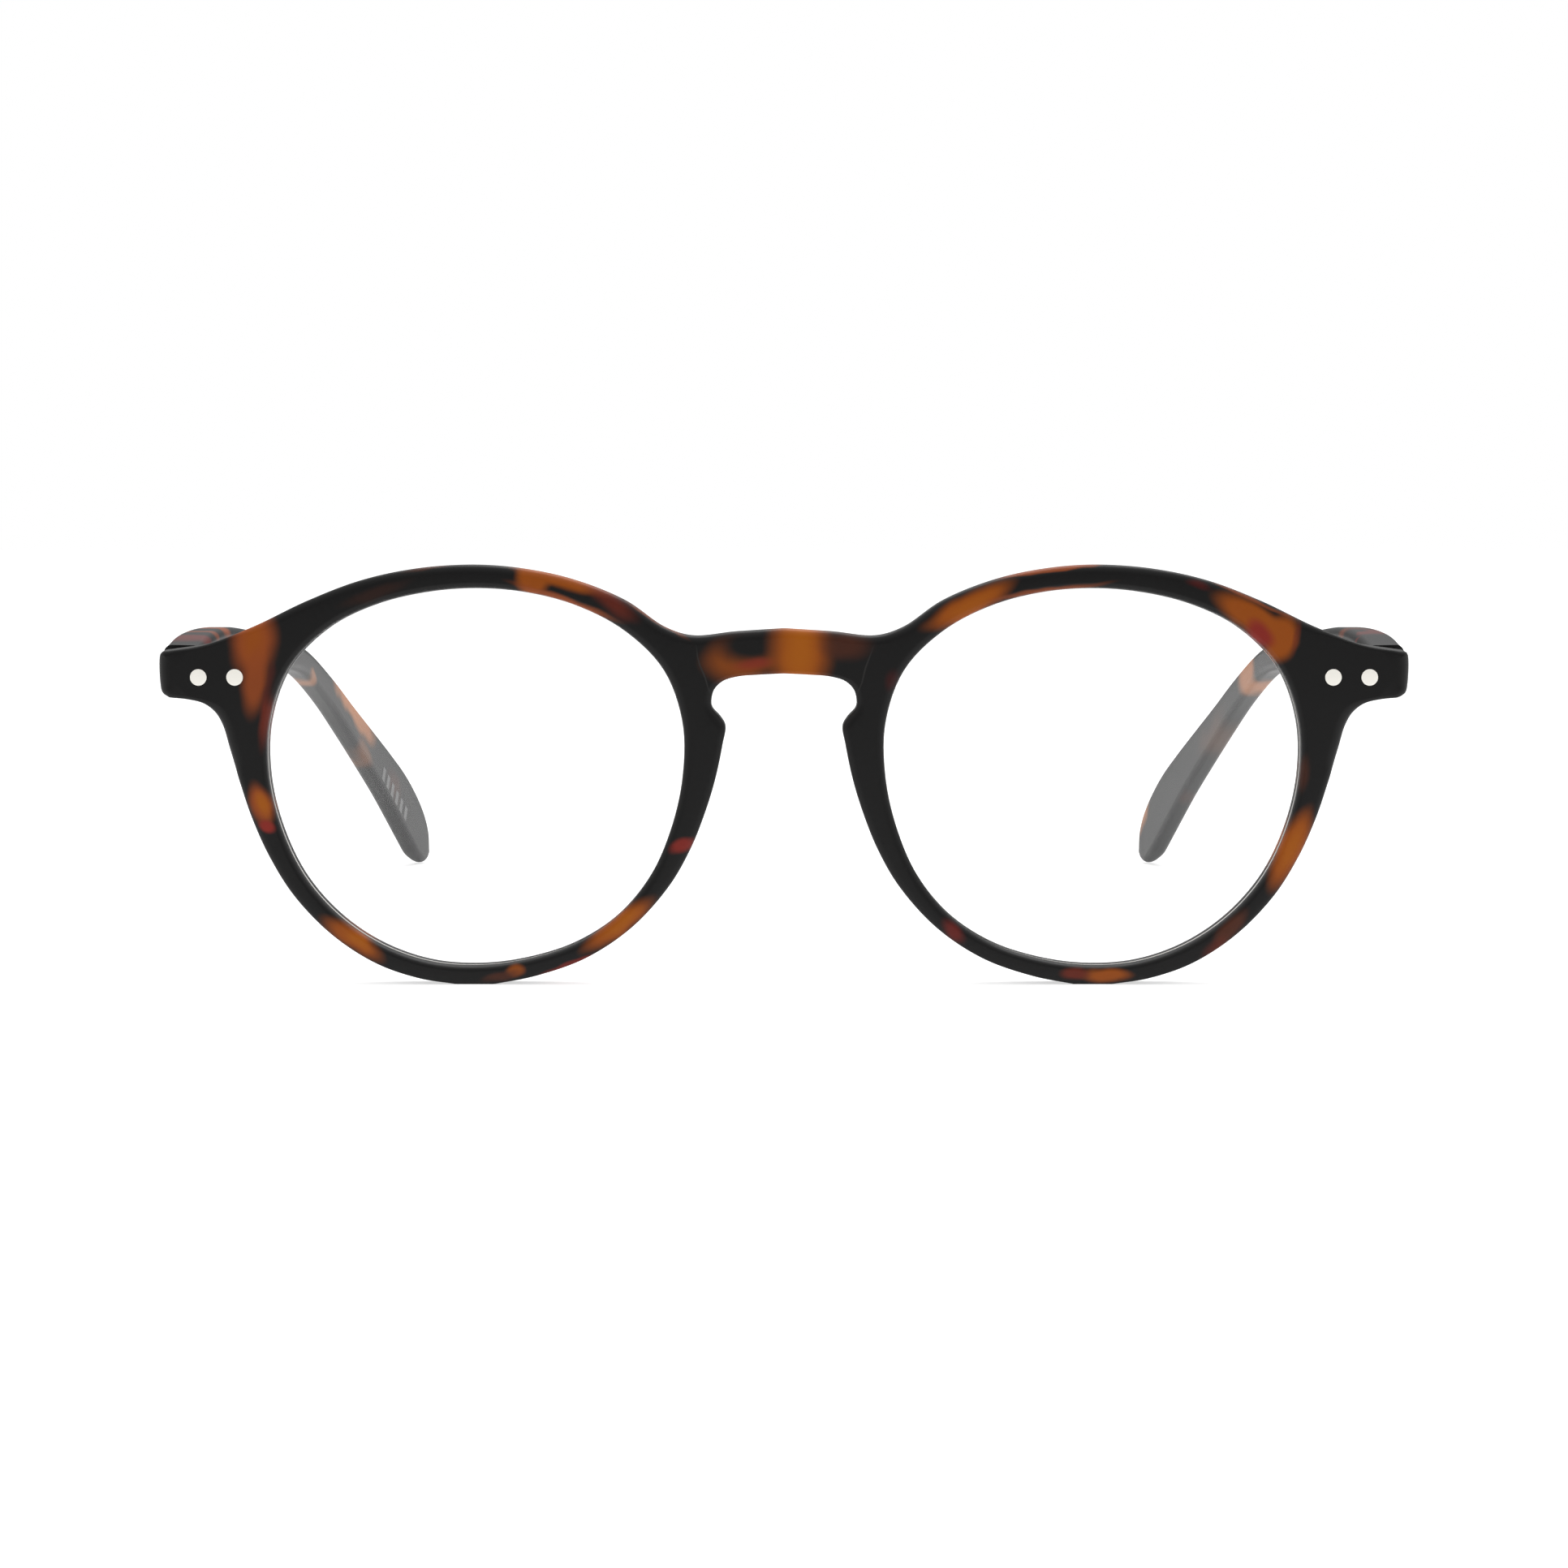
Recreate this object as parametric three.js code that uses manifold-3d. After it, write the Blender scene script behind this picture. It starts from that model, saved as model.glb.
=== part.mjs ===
import * as THREE from "three";
import { mergeVertices } from "three/addons/utils/BufferGeometryUtils.js";
import Module from "manifold-3d";

const wasm = await Module();
wasm.setup();

// Folding reading glasses, in millimetres. +Z is up, the lenses face -Y and +X is the wearer's left.
// The floor is z = 0. Distances behind the front face are called depth; the last step centres them.

// Front
const rimDepth = 3.5;
const endDepth = 6.2;
const endFlare = 0.65;
const edgeRound = 0.45;
const topEdge = [
  [0, 40.35], [5.5, 39.97], [10.4, 39.52], [13.5, 40.48], [17.95, 43.54], [23.95, 45.94], [29.95, 47.2],
  [35.4, 47.58], [41.9, 47.11], [47.9, 45.79], [53.9, 43.49], [59.95, 40.6], [65.25, 38.6], [69.35, 37.9],
];
const endEdge = [[69.35, 37.9], [70.15, 37.65], [70.42, 36.95], [70.45, 34.25], [70.2, 33.25], [69.4, 32.72]];
const lowerEdge = [
  [69.4, 32.72], [67.25, 32.5], [65.55, 32.05], [64.35, 31.05], [63.45, 29.44], [62.7, 26.83],
  [61.65, 23.02], [60.3, 18.89], [58.35, 14.46], [55.6, 10.02], [51.3, 5.57], [46.3, 2.33], [41.5, 0.66],
  [37.35, 0],
];
const noseEdge = [
  [32.9, 0], [28.2, 0.93], [22.55, 2.94], [17.3, 6.43], [13.05, 11.13], [10.65, 15.27], [9.05, 19.2],
  [7.8, 23.22], [6.95, 27.24], [6.63, 29.34], [7.2, 30.4], [8.15, 31.5], [8.2, 32.45], [7.85, 33.55],
  [6.87, 34.48], [5.2, 34.98], [2.8, 35.18], [0, 35.32],
];

// Nose pads moulded on the back of the rims: height, nose side x and rise behind the rim
const padLine = [
  [12.9, 12, 0.2], [14.95, 10.75, 1.3], [18, 9.4, 2.2], [21, 8.45, 2.7], [24.05, 7.65, 2.8],
  [27.1, 7.02, 2.5], [29.1, 6.72, 1.6], [30.1, 7, 0.3],
];

// Lens opening: radii about the eye centre, every 15 degrees from the outer side
const eyeCentre = [34.6, 23.6];
const eyeRadii = [
  23.77, 24.45, 24.7, 23.88, 22.62, 21.69, 21.37, 21.63, 22.4, 23.44, 24.25, 24.11,
  23.35, 22.75, 22.55, 22.35, 21.94, 21.52, 21.52, 21.83, 22.15, 22.5, 22.87, 23.18,
];
const eyeSides = 48;
const grooveFront = 1;
const grooveBack = 2.5;
const grooveSink = 0.75;
const lensShoulder = 0.08;
const lensBevel = 0.55;
const lensEdgeFront = 1.12;
const lensEdgeBack = 2.38;
const lensFrontBulge = 0.9;
const lensBackBulge = 0.45;

// Hinge: a vertical screw through two front knuckles and the spring slider's eye
const axisX = 65.5;
const axisDepth = 8.1;
const hingeZ = 34.9;
const knuckleRadius = 1.3;
const knuckleHeight = 1.3;
const eyeHeight = 1.7;
const stackGap = 0.1;
const screwRadius = 0.7;
const screwHeadRadius = 1.1;
const leafFront = 5.6;
const leafBack = 6.4;
const leafLeft = 60.9;
const leafRight = 67.1;
const leafHalfHeight = 1.95;
const rivetXs = [62, 66.1];
const rivetHeadRadius = 0.95;
const rivetShankRadius = 0.6;

// Spring hinge: the slider's rod runs in a housing sunk in the temple
const blockBack = 9.4;
const rodRadius = 0.4;
const rodEnd = 18.9;
const housingFront = 9.65;
const housingBack = 22.6;
const housingInner = 64.2;
const housingOuter = 67.4;
const housingHalfHeight = 1.6;
const chamberFront = 10.45;
const chamberRadius = 1;
const nutFront = 17.4;
const nutBack = 18.5;
const nutRadius = 0.88;
const springRadius = 0.66;
const wireRadius = 0.13;
const springTurns = 7.5;

// Temple: depth and height of its top and bottom edges, from the hinge to the tip
const templeTop = [
  [4, 38.2], [8, 38.55], [12, 39.2], [18, 39.7], [25, 39.75], [34, 39.2], [44, 38.3], [54.1, 37.45],
  [62.2, 36.8], [70.3, 35.65], [78.5, 33.85], [90.7, 30.15], [101.9, 26], [112.2, 22], [122.1, 17.8],
  [129.5, 14.2], [135.8, 10], [139, 6.9], [140.1, 4.8], [140.25, 3.4], [140.2, 2.4],
];
const templeBottom = [
  [4, 32.75], [8, 32.75], [12, 32.75], [18, 32.75], [25, 32.75], [34, 32.75], [44, 32.8], [53.9, 32.95],
  [61.8, 32.85], [69.7, 32.1], [77.5, 30.3], [89.3, 26.3], [100.1, 21.55], [109.8, 16.75], [118.9, 11.8],
  [125.5, 7.7], [131.2, 3.95], [135.2, 1.35], [137.9, 0.15], [139.1, 0.25], [139.8, 0.9],
];
const templeStart = 66.7;
const toeIn = 0.053;
const hookStart = 70;
const hookBend = 0.00112;
const templeThick = 4.45;
const midThick = 3;
const tipThick = 2.6;
const endThick = 1.6;
const templeRound = 0.95;
const buttGap = 0.45;
const reliefRadius = 1.5;

const totalDepth = 140.25;

const black = 0x1c1a1a;
const tortoise = 0x3a1d12;
const cream = 0xeae6dc;
const steel = 0xb9bcc0;

function smooth(points, count) {
  const knots = points.map(([x, z]) => new THREE.Vector3(x, z, 0));
  const curve = new THREE.CatmullRomCurve3(knots, false, "centripetal");
  return curve.getPoints(count).map((p) => new THREE.Vector2(p.x, p.y));
}

function closedSolid(positions, index) {
  const geometry = new THREE.BufferGeometry();
  geometry.setAttribute("position", new THREE.Float32BufferAttribute(positions, 3));
  geometry.setIndex(index);
  if (signedVolume(geometry) < 0) flipFaces(geometry);
  return geometry;
}

function signedVolume(geometry) {
  const position = geometry.attributes.position;
  const index = geometry.index;
  const [a, b, c] = [new THREE.Vector3(), new THREE.Vector3(), new THREE.Vector3()];
  let volume = 0;
  for (let i = 0; i < index.count; i += 3) {
    a.fromBufferAttribute(position, index.getX(i));
    b.fromBufferAttribute(position, index.getX(i + 1));
    c.fromBufferAttribute(position, index.getX(i + 2));
    volume += a.dot(b.cross(c)) / 6;
  }
  return volume;
}

function flipFaces(geometry) {
  const index = geometry.index;
  for (let i = 0; i < index.count; i += 3) {
    const second = index.getX(i + 1);
    index.setX(i + 1, index.getX(i + 2));
    index.setX(i + 2, second);
  }
}

// Joins rings of points, in order, into one closed solid with a fan at each end
function loft(rings) {
  const sides = rings[0].length;
  const positions = rings.flat().flatMap((p) => [p.x, p.y, p.z]);
  const index = [];
  for (let r = 0; r + 1 < rings.length; r++) {
    for (let s = 0; s < sides; s++) {
      const a = r * sides + s;
      const b = r * sides + ((s + 1) % sides);
      index.push(a, b, b + sides, a, b + sides, a + sides);
    }
  }
  for (const [first, turn] of [[0, 1], [rings.length - 1, 0]]) {
    const middle = positions.length / 3;
    const centre = new THREE.Vector3();
    rings[first].forEach((p) => centre.addScaledVector(p, 1 / sides));
    positions.push(centre.x, centre.y, centre.z);
    for (let s = 0; s < sides; s++) {
      const a = first * sides + s;
      const b = first * sides + ((s + 1) % sides);
      index.push(middle, turn ? b : a, turn ? a : b);
    }
  }
  return closedSolid(positions, index);
}

function welded(geometry) {
  geometry.deleteAttribute("normal");
  geometry.deleteAttribute("uv");
  return mergeVertices(geometry, 1e-4);
}

// Extrudes a front view outline backwards, with its edges rounded inside the outline
function extrudeBack(points, front, back, round = 0, holes = []) {
  const shape = new THREE.Shape(points);
  shape.holes = holes.map((hole) => new THREE.Path(hole));
  const geometry = new THREE.ExtrudeGeometry(shape, {
    depth: back - front - 2 * round,
    bevelEnabled: round > 0,
    bevelSize: round,
    bevelThickness: round,
    bevelOffset: -round,
    bevelSegments: 2,
  });
  geometry.rotateX(Math.PI / 2);
  geometry.translate(0, back - round, 0);
  return welded(geometry);
}

// Extrudes a plan view outline upwards
function extrudeUp(points, bottom, top) {
  const shape = new THREE.Shape(points.map(([x, y]) => new THREE.Vector2(x, y)));
  const geometry = new THREE.ExtrudeGeometry(shape, { depth: top - bottom, bevelEnabled: false });
  geometry.translate(0, 0, bottom);
  return welded(geometry);
}

function box(x0, x1, y0, y1, z0, z1) {
  const geometry = new THREE.BoxGeometry(x1 - x0, y1 - y0, z1 - z0);
  geometry.translate((x0 + x1) / 2, (y0 + y1) / 2, (z0 + z1) / 2);
  return welded(geometry);
}

function uprightCylinder(radius, bottom, top, sides = 24) {
  const geometry = new THREE.CylinderGeometry(radius, radius, top - bottom, sides);
  geometry.rotateX(Math.PI / 2);
  geometry.translate(axisX, axisDepth, (bottom + top) / 2);
  return welded(geometry);
}

function backwardCylinder(radius, x, front, back, sides = 20) {
  const geometry = new THREE.CylinderGeometry(radius, radius, back - front, sides);
  geometry.translate(x, (front + back) / 2, hingeZ);
  return welded(geometry);
}

function manifold(geometry) {
  const vertProperties = new Float32Array(geometry.attributes.position.array);
  const triVerts = new Uint32Array(geometry.index.array);
  return new wasm.Manifold(new wasm.Mesh({ numProp: 3, vertProperties, triVerts }));
}

function combine(base, added, removed) {
  let solid = manifold(base);
  for (const geometry of added) solid = solid.add(manifold(geometry));
  for (const geometry of removed) solid = solid.subtract(manifold(geometry));
  const result = solid.getMesh();
  return closedSolid(Array.from(result.vertProperties), Array.from(result.triVerts));
}

function halfOutline() {
  const pieces = [smooth(topEdge, 28), smooth(endEdge, 8), smooth(lowerEdge, 28), smooth(noseEdge, 38)];
  return pieces.flatMap((piece, i) => (i === 1 || i === 2 ? piece.slice(1) : piece));
}

function frontOutline() {
  const half = halfOutline();
  const other = half.slice(1, -1).reverse();
  return [...half, ...other.map((p) => new THREE.Vector2(-p.x, p.y))].reverse();
}

// The lens opening's outline, moved outwards by offset; side is 1 for the left eye and -1 for the right
function eyeOutline(offset, side) {
  const knots = eyeRadii.map((radius, i) => {
    const angle = THREE.MathUtils.degToRad(15 * i);
    return new THREE.Vector3(radius * Math.cos(angle), radius * Math.sin(angle), 0);
  });
  const curve = new THREE.CatmullRomCurve3(knots, true, "centripetal");
  const points = [];
  for (let i = 0; i < eyeSides; i++) {
    const point = curve.getPoint(i / eyeSides);
    const tangent = curve.getTangent(i / eyeSides);
    const x = eyeCentre[0] + point.x + tangent.y * offset;
    points.push(new THREE.Vector2(side * x, eyeCentre[1] + point.y - tangent.x * offset));
  }
  return points;
}

function eyeRing(offset, depth, side) {
  return eyeOutline(offset, side).map((p) => new THREE.Vector3(p.x, depth, p.y));
}

function grooveCutter(side) {
  const middle = (grooveFront + grooveBack) / 2;
  return loft([
    eyeRing(-1, grooveFront, side),
    eyeRing(0, grooveFront, side),
    eyeRing(grooveSink, middle, side),
    eyeRing(0, grooveBack, side),
    eyeRing(-1, grooveBack, side),
  ]);
}

// The end piece's extra thickness behind the rim, where the hinge sits
function endBlock() {
  const edge = halfOutline().filter((p) => p.x > 59.7 && p.y > 31.25);
  const shape = [...edge, new THREE.Vector2(60.2, 31.45)].reverse();
  const block = manifold(extrudeBack(shape, 1.5, endDepth));
  const plan = [[55, 1], [75, 1], [75, 8], [61, endDepth], [60.3, 5.3], [59.4, 3.2]];
  const kept = block.intersect(manifold(extrudeUp(plan, 28, 44))).getMesh();
  return flared(closedSolid(Array.from(kept.vertProperties), Array.from(kept.triVerts)));
}

// Widens the end pieces towards the back, so that their sides run on into the temples
function flared(geometry) {
  const position = geometry.attributes.position;
  for (let i = 0; i < position.count; i++) {
    const x = position.getX(i);
    const reach = THREE.MathUtils.smoothstep(Math.abs(x), 62, 70.4) * (position.getY(i) / endDepth);
    position.setX(i, x + Math.sign(x) * endFlare * reach);
  }
  return geometry;
}

function nosePad() {
  return loft(padLine.map(([z, x, rise]) => {
    const plan = [
      [0.15, 2.6], [0.15, 3.2], [0.6 + 0.1 * rise, 3.5 + 0.75 * rise], [1.2, 3.5 + rise],
      [1.9, 3.5 + 0.95 * rise], [2.5, 3.4], [2.5, 2.6],
    ];
    return plan.map(([across, depth]) => new THREE.Vector3(x + across, depth, z));
  }));
}

function leafPocket() {
  const height = leafHalfHeight + 0.05;
  return box(leafLeft - 0.05, leafRight + 0.05, leafFront, endDepth + 1, hingeZ - height, hingeZ + height);
}

function rivetHoles() {
  return rivetXs.flatMap((x) => [
    backwardCylinder(rivetHeadRadius + 0.02, x, -1, 0.62),
    backwardCylinder(rivetShankRadius + 0.02, x, 0.5, endDepth + 1),
  ]);
}

function makeFront() {
  const eyes = [1, -1].map((side) => eyeOutline(0, side));
  const plate = flared(extrudeBack(frontOutline(), 0, rimDepth, edgeRound, eyes));
  const added = [endBlock(), nosePad(), mirrored(endBlock()), mirrored(nosePad())];
  const holes = [leafPocket(), ...rivetHoles()];
  return combine(plate, added, [grooveCutter(1), grooveCutter(-1), ...holes, ...holes.map(mirrored)]);
}

function lensRing(scale, edge, bulge) {
  return eyeOutline(-lensShoulder, 1).map((p) => {
    const x = eyeCentre[0] + (p.x - eyeCentre[0]) * scale;
    const z = eyeCentre[1] + (p.y - eyeCentre[1]) * scale;
    return new THREE.Vector3(x, edge - bulge * (1 - scale * scale), z);
  });
}

function makeLens() {
  const scales = [0.3, 0.65, 1];
  return loft([
    ...scales.map((scale) => lensRing(scale, lensEdgeFront, lensFrontBulge)),
    eyeRing(lensBevel, (lensEdgeFront + lensEdgeBack) / 2, 1),
    ...scales.reverse().map((scale) => lensRing(scale, lensEdgeBack, lensBackBulge)),
  ]);
}

function makeRivet(x) {
  const head = backwardCylinder(rivetHeadRadius, x, 0, 0.6);
  return combine(head, [backwardCylinder(rivetShankRadius, x, 0.3, leafBack - 0.05)], []);
}

function knuckleSpans() {
  const inner = eyeHeight / 2 + stackGap;
  const outer = inner + knuckleHeight;
  return [[hingeZ - outer, hingeZ - inner], [hingeZ + inner, hingeZ + outer]];
}

function makeHingeLeaf() {
  const height = leafHalfHeight;
  const plate = box(leafLeft, leafRight, leafFront, leafBack, hingeZ - height, hingeZ + height);
  const knuckles = knuckleSpans().flatMap(([bottom, top]) => [
    box(axisX - knuckleRadius, axisX + 0.7, endDepth + 0.05, axisDepth, bottom, top),
    uprightCylinder(knuckleRadius, bottom, top),
  ]);
  const rivets = rivetXs.map((x) => backwardCylinder(rivetShankRadius + 0.02, x, 5, 7));
  return combine(plate, knuckles, [uprightCylinder(screwRadius + 0.03, 30, 40), ...rivets]);
}

function makeScrew() {
  const [lower, upper] = knuckleSpans();
  const shank = uprightCylinder(screwRadius, lower[0] - 0.25, upper[1] + 0.2);
  const head = uprightCylinder(screwHeadRadius, upper[1] + 0.02, upper[1] + 0.55);
  const slotFloor = upper[1] + 0.3;
  const slot = box(axisX - 2, axisX + 2, axisDepth - 0.16, axisDepth + 0.16, slotFloor, slotFloor + 1);
  return combine(shank, [head], [slot]);
}

function makeSlider() {
  const bottom = hingeZ - eyeHeight / 2;
  const top = hingeZ + eyeHeight / 2;
  const ring = uprightCylinder(knuckleRadius, bottom, top);
  const block = box(axisX - 0.95, axisX + 0.95, axisDepth, blockBack, bottom, top);
  const rod = backwardCylinder(rodRadius, axisX, blockBack - 0.4, rodEnd, 12);
  return combine(ring, [block, rod], [uprightCylinder(screwRadius + 0.06, 30, 40)]);
}

function makeSpring() {
  const start = chamberFront + wireRadius + 0.02;
  const end = nutFront - wireRadius - 0.02;
  const steps = springTurns * 10;
  const sides = 5;
  const rings = [];
  for (let i = 0; i <= steps; i++) {
    const angle = (2 * Math.PI * springTurns * i) / steps;
    const depth = start + ((end - start) * i) / steps;
    const ring = [];
    for (let s = 0; s < sides; s++) {
      const turn = (2 * Math.PI * s) / sides;
      const radius = springRadius + wireRadius * Math.cos(turn);
      const x = axisX + radius * Math.cos(angle);
      ring.push(new THREE.Vector3(x, depth + wireRadius * Math.sin(turn), hingeZ + radius * Math.sin(angle)));
    }
    rings.push(ring);
  }
  return loft(rings);
}

function makeNut() {
  const body = backwardCylinder(nutRadius, axisX, nutFront, nutBack, 6);
  return combine(body, [], [backwardCylinder(rodRadius + 0.03, axisX, nutFront - 1, nutBack + 1, 12)]);
}

function makeHousing() {
  const shape = new THREE.Path();
  const [h, r] = [housingHalfHeight, 0.7];
  shape.moveTo(housingOuter, hingeZ - h);
  shape.lineTo(housingOuter, hingeZ + h);
  shape.lineTo(housingInner + r, hingeZ + h);
  shape.absarc(housingInner + r, hingeZ + h - r, r, Math.PI / 2, Math.PI, false);
  shape.absarc(housingInner + r, hingeZ - h + r, r, Math.PI, 1.5 * Math.PI, false);
  const body = extrudeBack(shape.getPoints(3), housingFront, housingBack, 0.15);
  const hole = backwardCylinder(rodRadius + 0.06, axisX, housingFront - 1, chamberFront + 1, 12);
  const chamber = backwardCylinder(chamberRadius, axisX, chamberFront, housingBack + 1);
  return combine(body, [], [hole, chamber]);
}

function innerFace(depth) {
  const past = Math.max(0, depth - hookStart);
  return templeStart - toeIn * (depth - 8) - hookBend * past * past;
}

function thickness(depth) {
  const { lerp, smoothstep } = THREE.MathUtils;
  const swell = (templeThick - midThick) * (1 - smoothstep(depth, 8, 45));
  const blade = lerp(midThick, tipThick, smoothstep(depth, 60, 135));
  return lerp(swell + blade, endThick, smoothstep(depth, 136.5, 141));
}

// A rounded section across the temple: up is along its height, out is away from the head
function templeSection(height, thick) {
  const round = Math.min(templeRound, 0.45 * height);
  const points = [];
  for (const [up, out, start] of [[1, 1, 0], [1, -1, 90], [-1, -1, 180], [-1, 1, 270]]) {
    for (const angle of [0, 45, 90]) {
      const turn = THREE.MathUtils.degToRad(start + angle);
      points.push([
        up * (height / 2 - round) + round * Math.sin(turn),
        out * (thick / 2 - round) + round * Math.cos(turn),
      ]);
    }
  }
  return points;
}

function templeBlank() {
  const steps = 2 * (templeTop.length - 1);
  const [tops, bottoms] = [templeTop, templeBottom].map((edge) => {
    const knots = edge.map(([depth, z]) => new THREE.Vector3(depth, z, 0));
    const curve = new THREE.CatmullRomCurve3(knots, false, "centripetal");
    return curve.getPoints(steps).map((p) => new THREE.Vector2(p.x, p.y));
  });
  return loft(tops.map((top, i) => {
    const across = top.clone().sub(bottoms[i]);
    const middle = top.clone().add(bottoms[i]).multiplyScalar(0.5);
    const height = across.length();
    const thick = thickness(middle.x);
    return templeSection(height, thick).map(([up, out]) => {
      const spot = middle.clone().addScaledVector(across, up / height);
      return new THREE.Vector3(innerFace(spot.x) + thick / 2 + out, spot.x, spot.y);
    });
  }));
}

function makeTemple() {
  const front = endDepth + buttGap;
  const reliefX = axisX + reliefRadius;
  const reliefBack = axisDepth + reliefRadius;
  const butt = [
    [60, 0], [74, 0], [74, front + 0.95], [reliefX, front], [reliefX, reliefBack], [60, reliefBack],
  ];
  const height = housingHalfHeight + 0.05;
  const right = housingOuter + 0.05;
  const pocket = box(60, right, reliefBack - 1, housingBack + 0.05, hingeZ - height, hingeZ + height);
  return combine(templeBlank(), [], [extrudeUp(butt, 28, 44), pocket]);
}

function mirrored(geometry) {
  const copy = geometry.clone();
  copy.scale(-1, 1, 1);
  flipFaces(copy);
  return copy;
}

function addPart(group, name, geometry, look) {
  geometry.translate(0, -totalDepth / 2, 0);
  const shaded = geometry.toNonIndexed();
  shaded.computeVertexNormals();
  const part = new THREE.Mesh(shaded, new THREE.MeshStandardMaterial(look));
  part.name = name;
  group.add(part);
}

const plastic = { color: black, roughness: 0.5 };
const frontPlastic = { color: tortoise, roughness: 0.5 };
const glass = { color: 0xffffff, roughness: 0.05, transparent: true, opacity: 0.35 };
const metal = { color: steel, roughness: 0.35, metalness: 1 };
const rivetMetal = { color: cream, roughness: 0.4 };

const group = new THREE.Group();
group.name = "folding_reading_glasses";
addPart(group, "front", makeFront(), frontPlastic);
for (const [side, place] of [["left", (g) => g], ["right", mirrored]]) {
  addPart(group, `${side}_lens`, place(makeLens()), glass);
  addPart(group, `${side}_inner_rivet`, place(makeRivet(rivetXs[0])), rivetMetal);
  addPart(group, `${side}_outer_rivet`, place(makeRivet(rivetXs[1])), rivetMetal);
  addPart(group, `${side}_hinge_leaf`, place(makeHingeLeaf()), metal);
  addPart(group, `${side}_hinge_screw`, place(makeScrew()), metal);
  addPart(group, `${side}_hinge_slider`, place(makeSlider()), metal);
  addPart(group, `${side}_hinge_spring`, place(makeSpring()), metal);
  addPart(group, `${side}_slider_nut`, place(makeNut()), metal);
  addPart(group, `${side}_hinge_housing`, place(makeHousing()), metal);
  addPart(group, `${side}_temple`, place(makeTemple()), plastic);
}

export default group;
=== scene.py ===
import math

import bmesh
import bpy
import numpy as np
from mathutils import Matrix, Vector
from mathutils.geometry import delaunay_2d_cdt


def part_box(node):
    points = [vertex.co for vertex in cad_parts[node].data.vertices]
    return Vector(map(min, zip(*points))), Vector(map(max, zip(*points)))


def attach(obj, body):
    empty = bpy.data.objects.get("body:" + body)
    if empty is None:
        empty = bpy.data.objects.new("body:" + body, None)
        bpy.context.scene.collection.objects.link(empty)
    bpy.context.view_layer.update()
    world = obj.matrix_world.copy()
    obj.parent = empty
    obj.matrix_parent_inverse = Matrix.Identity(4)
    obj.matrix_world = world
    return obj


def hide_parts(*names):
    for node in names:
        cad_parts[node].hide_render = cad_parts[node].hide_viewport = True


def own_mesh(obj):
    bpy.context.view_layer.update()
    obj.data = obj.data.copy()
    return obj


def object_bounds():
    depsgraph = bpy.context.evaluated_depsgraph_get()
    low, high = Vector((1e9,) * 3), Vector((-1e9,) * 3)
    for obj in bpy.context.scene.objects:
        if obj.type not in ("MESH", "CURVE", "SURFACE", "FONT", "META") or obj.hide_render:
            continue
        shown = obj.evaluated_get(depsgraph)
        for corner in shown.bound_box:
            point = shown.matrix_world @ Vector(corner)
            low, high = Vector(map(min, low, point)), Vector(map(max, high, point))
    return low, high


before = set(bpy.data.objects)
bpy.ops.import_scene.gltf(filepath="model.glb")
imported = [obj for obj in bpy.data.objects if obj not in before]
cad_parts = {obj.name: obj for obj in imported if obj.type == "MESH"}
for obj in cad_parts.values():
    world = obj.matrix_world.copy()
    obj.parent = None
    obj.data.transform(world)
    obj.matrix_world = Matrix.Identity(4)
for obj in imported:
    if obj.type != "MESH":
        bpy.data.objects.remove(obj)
cad_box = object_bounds()

# The glasses' lengths are in millimetres, and the floor's and the light's in metres.
# Depth is measured back from the front face.
MM = 0.001
FRONT_Y = cad_box[0].y / MM

# The front's outline on the wearer's left: distance across and height.
TOP_EDGE = [
    (0, 40.38), (5.5, 40.02), (10.4, 39.58), (13.5, 40.53), (17.95, 43.54), (23.95, 45.94), (29.95, 47.2),
    (35.4, 47.58), (41.9, 47.11), (47.9, 45.79), (53.9, 43.49), (59.95, 40.6), (65.25, 38.6), (69.35, 37.9),
]
END_EDGE = [(69.35, 37.9), (70.2, 37.75), (70.44, 37.35), (70.45, 34.2), (70.2, 33.15), (69.4, 32.6)]
LOWER_EDGE = [
    (69.4, 32.6), (67.25, 32.38), (65.55, 31.92), (64.35, 30.92), (63.5, 29.36), (62.78, 26.83),
    (61.65, 23.02), (60.3, 18.89), (58.35, 14.46), (55.6, 10.02), (51.3, 5.57), (46.3, 2.33), (41.5, 0.66),
    (37.35, 0),
]
NOSE_EDGE = [
    (32.9, 0), (28.2, 0.93), (22.55, 2.94), (17.3, 6.43), (13.05, 11.13), (10.65, 15.27), (9.05, 19.2),
    (7.8, 23.22), (6.95, 27.24), (6.63, 29.34), (7.2, 30.4), (8.15, 31.5), (8.2, 32.45), (7.85, 33.55),
    (6.87, 34.48), (5.2, 34.98), (2.8, 35.18), (0, 35.32),
]
# The opening's radius every 15 degrees, starting on its outer side and going up.
EYE_CENTRE = (34.6, 23.6)
EYE_RADII = [
    23.77, 24.45, 24.7, 23.88, 22.62, 21.69, 21.37, 21.63, 22.4, 23.44, 24.25, 23.93,
    23.12, 22.6, 22.5, 22.35, 21.94, 21.52, 21.52, 21.83, 22.15, 22.5, 22.87, 23.18,
]
# The nose pad from the bottom up: height, distance across and how far it stands behind the rim.
PAD_LINE = [
    (12.9, 12, 0.2), (14.95, 10.75, 1.3), (18, 9.4, 2.2), (21, 8.45, 2.7), (24.05, 7.65, 2.8),
    (27.1, 7.02, 2.5), (29.1, 6.72, 1.6), (30.1, 7, 0.3),
]
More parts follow.
